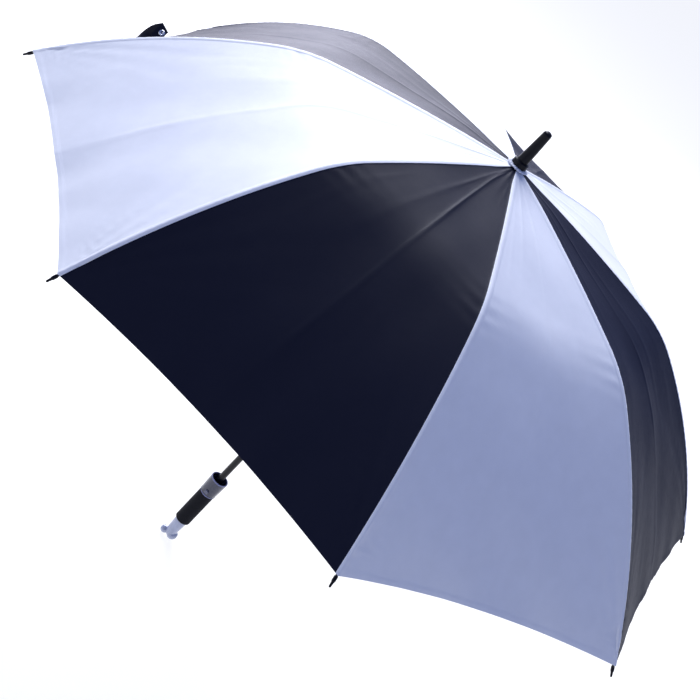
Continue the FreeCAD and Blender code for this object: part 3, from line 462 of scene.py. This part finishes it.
def relief(share, across, panel):
    """Height of the folds, seams, hem and wrinkles above the taut cloth, in metres."""
    span = half_span(share * CLOTH_LENGTH)
    along = share * CLOTH_LENGTH
    from_middle = across * span
    from_rib = span * (1 - np.abs(across))
    from_hem = (1 - share) * (CLOTH_LENGTH - HEM_INSET * (1 - across ** 2))
    rib = np.where(across < 0, panel, panel % RIBS + 1)
    free = 1 - across ** 2
    grown = smooth(along, 0.015, 0.09)
    height = np.zeros_like(share)
    # seam allowance folded over the rib, and the puckers its stitching pulls
    lap = LAP * np.minimum(1, span / NARROW)
    height += 0.00055 * (1 - smooth(from_rib, lap, lap + 0.0006))
    height += 0.00022 * np.sin(2 * math.pi * along / 0.0135 + rib * 1.7) * np.exp(-from_rib / 0.007) * grown
    # the fold each panel keeps down its middle from being rolled up
    wander = 0.004 * np.sin(along * 9 + panel * 2.1) * grown
    off_fold = np.abs(from_middle - wander)
    strength = 0.75 + 0.25 * np.sin(along * 21 + panel * 1.3)
    sharp = 0.0010 + (0.0008 * (1 - smooth(along, 0.12, 0.4)) if panel == 2 else 0.0)
    fold = sharp * np.exp(-off_fold / 0.0022) + 0.0009 * np.exp(-off_fold / 0.03)
    height += grown * strength * fold
    # fainter folds on both sides of it
    for place, phase in ((0.34, 0.4), (-0.41, 1.9), (0.63, 3.1), (-0.7, 4.4)):
        drift = place + 0.05 * math.sin(panel * 2.7 + phase)
        aside = np.abs(from_middle - drift * span * (1 + 0.06 * np.sin(along * 6 + phase + panel)))
        shown = smooth(np.sin(along * 7.5 + phase * 2 + panel * 1.1), -0.2, 0.7) * grown
        height += 0.0008 * shown * np.exp(-aside / 0.0024) * free
    # tension lines that fan out from each rib tip
    spread = np.arctan2(from_rib, from_hem + 1e-6)
    reach = np.hypot(from_rib, from_hem)
    phase = panel * 1.9 + np.where(across < 0, 0.0, 2.6)
    fan = crease(26 * spread ** 0.75 + phase) + 0.6 * crease(47 * spread ** 0.8 + 2 * phase)
    window = smooth(spread, 0.03, 0.16) * np.exp(-(spread / 0.62) ** 2)
    fade = smooth(reach, 0.006, 0.05) * np.exp(-reach / (0.1 + 0.02 * np.sin(panel * 3.3)))
    height += 0.0023 * fan * window * fade
    # puckers where the cloth is tied to the rib at its joint
    from_tie = along - JOINT_AT
    ripple = np.cos(2 * math.pi * from_tie / 0.026 + rib * 0.8)
    near_tie = dent(from_tie, 0.03) * np.exp(-from_rib / 0.03) * smooth(from_rib, 0.002, 0.012)
    height += 0.0011 * ripple * near_tie
    # gathers where the panels meet under the rosette
    gather = np.sin(across * 11 + panel * 2.0) * free
    height += 0.0006 * gather * np.exp(-along / 0.05) * smooth(along, 0.004, 0.02)
    # turned hem with its line of stitches, and a slight flutter along it
    hem = 1 - smooth(from_hem, 0.0088, 0.0096)
    height += 0.00045 * hem - 0.00035 * dent(from_hem - 0.0078, 0.0009)
    height += 0.0004 * np.sin(2 * math.pi * from_middle / 0.017 + panel) * np.exp(-from_hem / 0.011) * free
    flutter = np.sin(from_middle * 36 + panel * 2.3) + 0.6 * np.sin(from_middle * 71 + panel)
    height += 0.0014 * flutter * np.exp(-from_hem / 0.045) * free
    # broad unevenness of stretched cloth
    swell = (np.sin(along * 17 + from_middle * 12 + panel * 1.7)
             + np.sin(along * 31 - from_middle * 27 + panel * 2.9)
             + 0.6 * np.sin(along * 12 + from_middle * 55 + panel * 0.7))
    height += 0.0007 * swell * free * grown
    return height


# ------------------------------------------------------------------ the canopy's grid
# distances of the columns beside a rib, which make the step at the edge of the lap sharp
NEAR_RIB = (0.0, 0.0016, 0.0032, LAP, 0.0050, 0.0075)
LAP_COLUMNS = NEAR_RIB.index(LAP)
HALF_COLUMNS = 26
# bands of cloth that fold with a rib: end along it as a share of the distance to the joint, body, rows
BANDS = (
    (0.46, "rib_inner", 22),
    (1.0, "rib_inner", 28),
    (1.45, "rib_outer", 34),
    (1.8, "rib_outer", 28),
    (CLOTH_LENGTH / JOINT_AT, "rib_outer", 34),
)
# the power that crowds the last band's rows towards the hem
HEM_CROWDING = 1.35


def half_columns(span):
    """Distances from the rib across half a panel, for each row's half span."""
    scale = np.minimum(1.0, span / NARROW)
    near = np.array(NEAR_RIB)[None, :] * scale[:, None]
    t = np.linspace(0, 1, HALF_COLUMNS + 1)[1:]
    rounded = 0.55 * t + 0.45 * (0.5 - 0.5 * np.cos(math.pi * t))
    far = near[:, -1:] + (span[:, None] - near[:, -1:]) * rounded[None, :]
    return np.concatenate([near, far], 1)


def border_share(border, across):
    """Share at which the cloth crosses the plane square to the rib at a distance along it."""
    if border <= 0:
        return np.zeros_like(across)
    if border >= CLOTH_LENGTH - 1e-9:
        return np.ones_like(across)
    out, high, slope = rib_line(border, ABOVE_ROD)
    shares = np.linspace(0, 1.0, 400)
    found = []
    for value in across:
        points, _ = taut(shares, np.full_like(shares, abs(value)), SAG)
        turned_out = points[:, 0] * math.cos(HALF_STEP) + points[:, 1] * math.sin(HALF_STEP)
        square = (turned_out - out) * math.cos(slope) - (points[:, 2] - high) * math.sin(slope)
        found.append(np.interp(0.0, square, shares))
    return np.array(found)


def grid_shares():
    """Shares for every row and column of half a panel, rib to middle, and where the bands end."""
    guide = 1 - np.linspace(0, 1, 60)
    rows, marks, last = [np.zeros_like(guide)], [0], np.zeros_like(guide)
    for end, _, count in BANDS:
        border = border_share(end * JOINT_AT, guide)
        steps = np.linspace(0, 1, count + 1)[1:]
        if end == BANDS[-1][0]:
            steps = 1 - (1 - steps) ** HEM_CROWDING
        for step in steps:
            rows.append(last + (border - last) * step)
        last = border
        marks.append(len(rows) - 1)
    return guide, np.array(rows), marks


def panel_grid(panel):
    """Points and UVs of a panel and its bands' row marks.

    Rows run from the crown to the hem, and columns from the panel's first rib to its second.
    """
    guide, rows, marks = grid_shares()
    span = half_span(rows[:, 0] * CLOTH_LENGTH)
    away = half_columns(span)
    across = -(1 - away / span[:, None])
    share = np.stack([np.interp(-across[k], guide[::-1], rows[k][::-1]) for k in range(len(rows))])
    across = np.concatenate([across, -across[:, -2::-1]], 1)
    share = np.concatenate([share, share[:, -2::-1]], 1)
    points, normals = taut(share, across, slack(share, panel))
    points = points + normals * relief(share, across, panel)[..., None]
    turn = FIRST_RIB + (panel - 0.5) * RIB_STEP
    turned = points.copy()
    turned[..., 0] = points[..., 0] * math.cos(turn) - points[..., 1] * math.sin(turn)
    turned[..., 1] = points[..., 0] * math.sin(turn) + points[..., 1] * math.cos(turn)
    uv = np.stack([across * span[:, None], share * CLOTH_LENGTH], -1)
    return turned, uv, marks


def grid_normals(grids):
    """Smooth normals of the whole canopy, so that no seam shows where two pieces meet."""
    sums = []
    for points in grids:
        a = points[1:, 1:] - points[:-1, :-1]
        b = points[:-1, 1:] - points[1:, :-1]
        faces = np.cross(a, b)
        total = np.zeros_like(points)
        for rows in (slice(0, -1), slice(1, None)):
            for columns in (slice(0, -1), slice(1, None)):
                total[rows, columns] += faces
        sums.append(total)
    for k in range(RIBS):
        here, after = sums[k], sums[(k + 1) % RIBS]
        both = here[:, -1] + after[:, 0]
        here[:, -1] = both
        after[:, 0] = both
    result = []
    for total in sums:
        unit = total / np.linalg.norm(total, axis=-1, keepdims=True)
        result.append(unit * np.sign(unit[..., 2:3]))
    return result


def shell_piece(name, upper, normals, uv, material, thickness=CLOTH_THICKNESS):
    """A closed thin sheet under a grid of points. Its normals are set to the given ones."""
    rows, columns = upper.shape[:2]
    lower = upper - normals * thickness
    count = rows * columns
    index = np.arange(count).reshape(rows, columns)
    quads = np.stack([index[:-1, :-1], index[1:, :-1], index[1:, 1:], index[:-1, 1:]], -1).reshape(-1, 4)
    rim = np.concatenate([index[0, :-1], index[:-1, -1], index[-1, :0:-1], index[:0:-1, 0]])
    after = np.roll(rim, -1)
    walls = np.stack([rim, after, after + count, rim + count], -1)
    faces = np.concatenate([quads, quads[:, ::-1] + count, walls[:, ::-1]])
    normal_of = np.concatenate([normals.reshape(-1, 3), -normals.reshape(-1, 3)])
    points = np.concatenate([upper.reshape(-1, 3), lower.reshape(-1, 3)])
    corner, below, opposite = points[quads[0][:3]]
    if np.cross(below - corner, opposite - corner) @ normal_of[0] < 0:
        faces = faces[:, ::-1]
    mesh = bpy.data.meshes.new(name)
    mesh.from_pydata(points.tolist(), [], faces.tolist())
    mesh.polygons.foreach_set("use_smooth", [True] * len(faces))
    layer = mesh.uv_layers.new(name="cut")
    corner_vertex = np.zeros(len(mesh.loops), np.int64)
    mesh.loops.foreach_get("vertex_index", corner_vertex)
    both = np.concatenate([uv.reshape(-1, 2), uv.reshape(-1, 2)])
    layer.data.foreach_set("uv", both[corner_vertex].astype(np.float32).ravel())
    mesh.normals_split_custom_set_from_vertices(normal_of.tolist())
    mesh.materials.append(material)
    return link(bpy.data.objects.new(name, mesh))


def half_panel(fields, panel, side):
    """Half of a panel's field: white cloth goes on over its rib, navy starts where that lap ends."""
    own = fields[panel - 1]
    middle = own.shape[1] // 2
    white = panel % 2 == 1
    near = 0 if white else LAP_COLUMNS
    if side == "first":
        half = own[:, near:middle + 1]
        lap = fields[(panel - 2) % RIBS][:, -LAP_COLUMNS - 1:-1]
        return np.concatenate([lap, half], 1) if white else half
    half = own[:, middle:own.shape[1] - near]
    lap = fields[panel % RIBS][:, 1:LAP_COLUMNS + 1]
    return np.concatenate([half, lap], 1) if white else half


def build_canopy():
    grids, uvs = [], []
    for panel in range(1, RIBS + 1):
        points, uv, marks = panel_grid(panel)
        grids.append(points)
        uvs.append(uv)
    normals = grid_normals(grids)
    for panel in range(1, RIBS + 1):
        cloth, slot = (WHITE, "canopy_white") if panel % 2 == 1 else (NAVY, "canopy_navy")
        for side, rib, way in (("first", panel, 1), ("second", panel % RIBS + 1, -1)):
            half = [half_panel(fields, panel, side) for fields in (grids, normals, uvs)]
            for number, (_, body, _) in enumerate(BANDS, start=1):
                rows = slice(marks[number - 1], marks[number] + 1)
                upper, normal, uv = (field[rows] for field in half)
                piece = shell_piece(f"canopy_{panel}_{side}_{number}", upper, normal, uv, cloth)
                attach(piece, f"{body}_{rib}")
                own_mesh(piece)
                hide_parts(f"canopy_panel_{panel}")


build_canopy()


# ------------------------------------------------------------------ rosette, knob, strap and snap
def solid_piece(name, points, faces, material):
    """A smooth closed mesh with its faces outwards."""
    corners = points[faces]
    volume = np.einsum("ij,ij->i", np.cross(corners[:, 0], corners[:, 1]), corners[:, 2]).sum()
    volume += np.einsum("ij,ij->i", np.cross(corners[:, 0], corners[:, 2]), corners[:, 3]).sum()
    if volume < 0:
        faces = faces[:, ::-1]
    mesh = bpy.data.meshes.new(name)
    mesh.from_pydata(points.tolist(), [], faces.tolist())
    mesh.polygons.foreach_set("use_smooth", [True] * len(faces))
    mesh.materials.append(material)
    return link(bpy.data.objects.new(name, mesh))


def ring_faces(rows, columns):
    """Quads of a grid that closes on itself both ways."""
    index = np.arange(rows * columns).reshape(rows, columns)
    beside, below = np.roll(index, -1, 1), np.roll(index, -1, 0)
    return np.stack([index, below, np.roll(below, -1, 1), beside], -1).reshape(-1, 4)


ROSETTE_INNER = 0.0062
ROSETTE_FOLDS = 26


def build_rosette():
    """The ring of gathered cloth round the ferrule: twisted folds that run outwards."""
    low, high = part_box("rosette")
    outer, inner, folds = high[0], ROSETTE_INNER, ROSETTE_FOLDS
    middle, half = (outer + inner) / 2, (outer - inner) / 2
    theta, phi = np.meshgrid(np.linspace(0, 2 * math.pi, folds * 16, endpoint=False),
                             np.linspace(0, 2 * math.pi, 28, endpoint=False), indexing="ij")
    out = middle + half * np.cos(phi)
    share = (out - inner) / (outer - inner)
    phase = folds * theta + 4.0 * share + 0.5 * np.sin(3 * theta + 1) + 0.3 * np.sin(7 * theta)
    puff = np.abs(np.sin(phase / 2)) ** 0.7
    size = 1 + 0.25 * np.sin(5 * theta + 2) + 0.2 * np.sin(11 * theta)
    thick = (high[2] - low[2]) / 2
    rise = np.sin(phi)
    fullness = 0.45 + 0.5 * puff * size
    height = (low[2] + high[2]) / 2 + thick * np.sign(rise) * np.abs(rise) ** 0.8 * fullness
    reach = out - 0.0010 * (1 - puff) * share
    points = np.stack([reach * np.cos(theta), reach * np.sin(theta), height], -1)
    rosette = solid_piece("rosette_ruffle", points.reshape(-1, 3), ring_faces(*theta.shape), WHITE)
    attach(rosette, "shaft_and_handle")
    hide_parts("rosette")


# the knob's neck: distance from the axis and height
KNOB_NECK = ((0.0, 0.0498), (0.0112, 0.0498), (0.0118, 0.0490), (0.0114, 0.040), (0.0109, 0.030),
             (0.0104, 0.022), (0.0100, 0.016), (0.0092, 0.011), (0.0070, 0.0065), (0.0, 0.004))
# its balls: distance aside, radius and height
KNOB_BALLS = ((-0.0112, 0.0076, 0.0085), (0.0052, 0.0102, 0.0102))
KNOB_TURN = math.radians(12)
KNOB_VOXEL = 0.0006


def build_knob():
    """The white knob: a round neck that ends in two balls with a crease between them."""
    shape = bmesh.new()
    rim = [shape.verts.new((out, 0, high)) for out, high in KNOB_NECK]
    edges = [shape.edges.new(pair) for pair in zip(rim, rim[1:])]
    bmesh.ops.spin(shape, geom=rim + edges, cent=(0, 0, 0), axis=(0, 0, 1), angle=2 * math.pi, steps=64,
                   use_merge=True)
    bmesh.ops.remove_doubles(shape, verts=shape.verts, dist=1e-6)
    for aside, radius, high in KNOB_BALLS:
        bmesh.ops.create_uvsphere(shape, u_segments=48, v_segments=32, radius=radius,
                                  matrix=Matrix.Translation((aside, 0, high)))
    bmesh.ops.recalc_face_normals(shape, faces=shape.faces)
    bmesh.ops.transform(shape, matrix=Matrix.Rotation(KNOB_TURN, 4, "Z"), verts=shape.verts)
    rough = bpy.data.meshes.new("knob_parts")
    shape.to_mesh(rough)
    shape.free()
    holder = link(bpy.data.objects.new("knob_parts", rough))
    remesh = holder.modifiers.new("join", "REMESH")
    remesh.mode = "VOXEL"
    remesh.voxel_size = KNOB_VOXEL
    soften = holder.modifiers.new("soften", "SMOOTH")
    soften.iterations = 12
    ready = holder.evaluated_get(bpy.context.evaluated_depsgraph_get())
    mesh = bpy.data.meshes.new_from_object(ready)
    bpy.data.objects.remove(holder)
    mesh.name = "end_knob_balls"
    mesh.polygons.foreach_set("use_smooth", [True] * len(mesh.polygons))
    mesh.materials.clear()
    mesh.materials.append(KNOB_WHITE)
    knob = link(bpy.data.objects.new("end_knob_balls", mesh))
    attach(knob, "shaft_and_handle")
    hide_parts("end_knob")


STRAP_WIDTH = 0.0187
STRAP_THICKNESS = 0.0008
STRAP_COLUMNS = np.linspace(0, 1, 15)
# the strap's upper edge in millimetres: inwards along the cloth, away from the cloth, along Y
STRAP_EDGE = ((3, 0.9, 31), (-3.5, 7.3, 29), (5.3, 12.8, 28), (17.1, 18.8, 27), (28.4, 23.1, 26),
              (38.9, 24.9, 25.5), (52.4, 24.6, 25))
# the line of the fold, on the same three axes
FOLD_WAY = np.array((0.376, -0.927, 0.0))
FOLD_RADIUS = 0.0012
FLAP_LENGTH = 0.027
FLAP_LIFT = math.radians(38)
# the snap's seat on the strap's grid, and its ring: distance from its middle and height
SNAP_ROW, SNAP_COLUMN = -17, 9
SNAP_PROFILE = ((0.0001, 0.0), (0.0001, 0.0004), (0.0019, 0.0004), (0.0022, 0.0010), (0.0029, 0.0015),
                (0.0038, 0.0017), (0.0047, 0.0014), (0.0054, 0.0008), (0.0056, 0.0002), (0.0056, 0.0))
SNAP_GAP = 0.0001


def strap_grid():
    """Points and normals of the strap: it leaves the hem, turns on its edge and is folded back."""
    hem, _ = taut(np.array([1.0]), np.array([0.1]), SAG)
    slope = float(rib_line(CLOTH_LENGTH, ABOVE_ROD)[2])
    inward = np.array((math.cos(slope), 0, math.sin(slope)))
    outward = np.array((-math.sin(slope), 0, math.cos(slope)))
    sideways = np.array((0.0, 1.0, 0.0))
    base = np.array((-hem[0, 0], 0, hem[0, 2]))
    knots = np.array(STRAP_EDGE, float) / 1000
    at = np.linspace(0, 1, 61)
    edge = np.stack([np.interp(at, np.linspace(0, 1, len(knots)), knots[:, k]) for k in range(3)], -1)
    for _ in range(16):
        edge[1:-1] = (edge[:-2] + 2 * edge[1:-1] + edge[2:]) / 4
    near = np.array((0, 0, -1.0))
    turn = smooth(at, 0.12, 0.6)[:, None] * math.pi / 2
    cross = np.cos(turn) * near + np.sin(turn) * FOLD_WAY
    rows = [edge[k] + STRAP_WIDTH * STRAP_COLUMNS[:, None] * cross[k] for k in range(len(at))]
    # the fold, and beyond it the flap, which lifts towards -Y
    ahead = edge[-1] - edge[-6]
    ahead /= np.linalg.norm(ahead)
    back = 2 * (ahead @ FOLD_WAY) * FOLD_WAY - ahead
    across_fold = ahead - (ahead @ FOLD_WAY) * FOLD_WAY
    across_fold /= np.linalg.norm(across_fold)
    fold_start = rows[-1]
    for angle in np.radians(np.linspace(15, 165, 11)):
        bend = math.sin(angle) * across_fold + (1 - math.cos(angle)) * near
        rows.append(fold_start + FOLD_RADIUS * bend)
    lift = back * math.cos(FLAP_LIFT) + near * math.sin(FLAP_LIFT)
    flap_start = rows[-1]
    for step in np.linspace(0, 1, 25)[1:]:
        rows.append(flap_start + lift * FLAP_LENGTH * step)
    grid = np.array(rows) @ np.stack([inward, outward, sideways]) + base
    normals = np.cross(np.gradient(grid, axis=0), np.gradient(grid, axis=1))
    normals /= np.linalg.norm(normals, axis=-1, keepdims=True)
    # the groove of the stitches along both edges
    inset = STRAP_WIDTH * np.minimum(STRAP_COLUMNS, 1 - STRAP_COLUMNS)
    stitches = dent(inset - 0.0018, 0.0006)
    return grid - normals * 0.00015 * stitches[None, :, None], normals


def build_strap():
    """The tie strap, with the snap on its folded end."""
    grid, normals = strap_grid()
    steps = np.linalg.norm(np.diff(grid[:, len(STRAP_COLUMNS) // 2], axis=0), axis=-1)
    lengthwise = np.concatenate([[0], np.cumsum(steps)])
    crosswise = np.linspace(0, STRAP_WIDTH, len(STRAP_COLUMNS))
    uv = np.stack(np.broadcast_arrays(crosswise[None, :], lengthwise[:, None]), -1)
    strap = shell_piece("tie_strap_ribbon", grid, normals, uv, NAVY, STRAP_THICKNESS)

    seat, facing = grid[SNAP_ROW, SNAP_COLUMN], normals[SNAP_ROW, SNAP_COLUMN]
    if facing[1] > 0:
        facing = -facing
    turned_to = Vector(facing.tolist()).to_track_quat("Z", "Y").to_matrix()
    theta = np.linspace(0, 2 * math.pi, 64, endpoint=False)[:, None]
    out, high = np.array(SNAP_PROFILE).T
    ring = np.stack(np.broadcast_arrays(out * np.cos(theta), out * np.sin(theta), high), -1)
    ring = ring.reshape(-1, 3) @ np.array(turned_to).T + seat + facing * SNAP_GAP
    snap = solid_piece("snap_ring", ring, ring_faces(len(theta), len(SNAP_PROFILE)), SNAP_METAL)

    for piece, node, slot in ((strap, "tie_strap", "strap_navy"), (snap, "snap_fastener", "snap_metal")):
        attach(piece, f"rib_outer_{RIBS}")
        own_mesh(piece)
        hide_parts(node)


build_rosette()
build_knob()
build_strap()
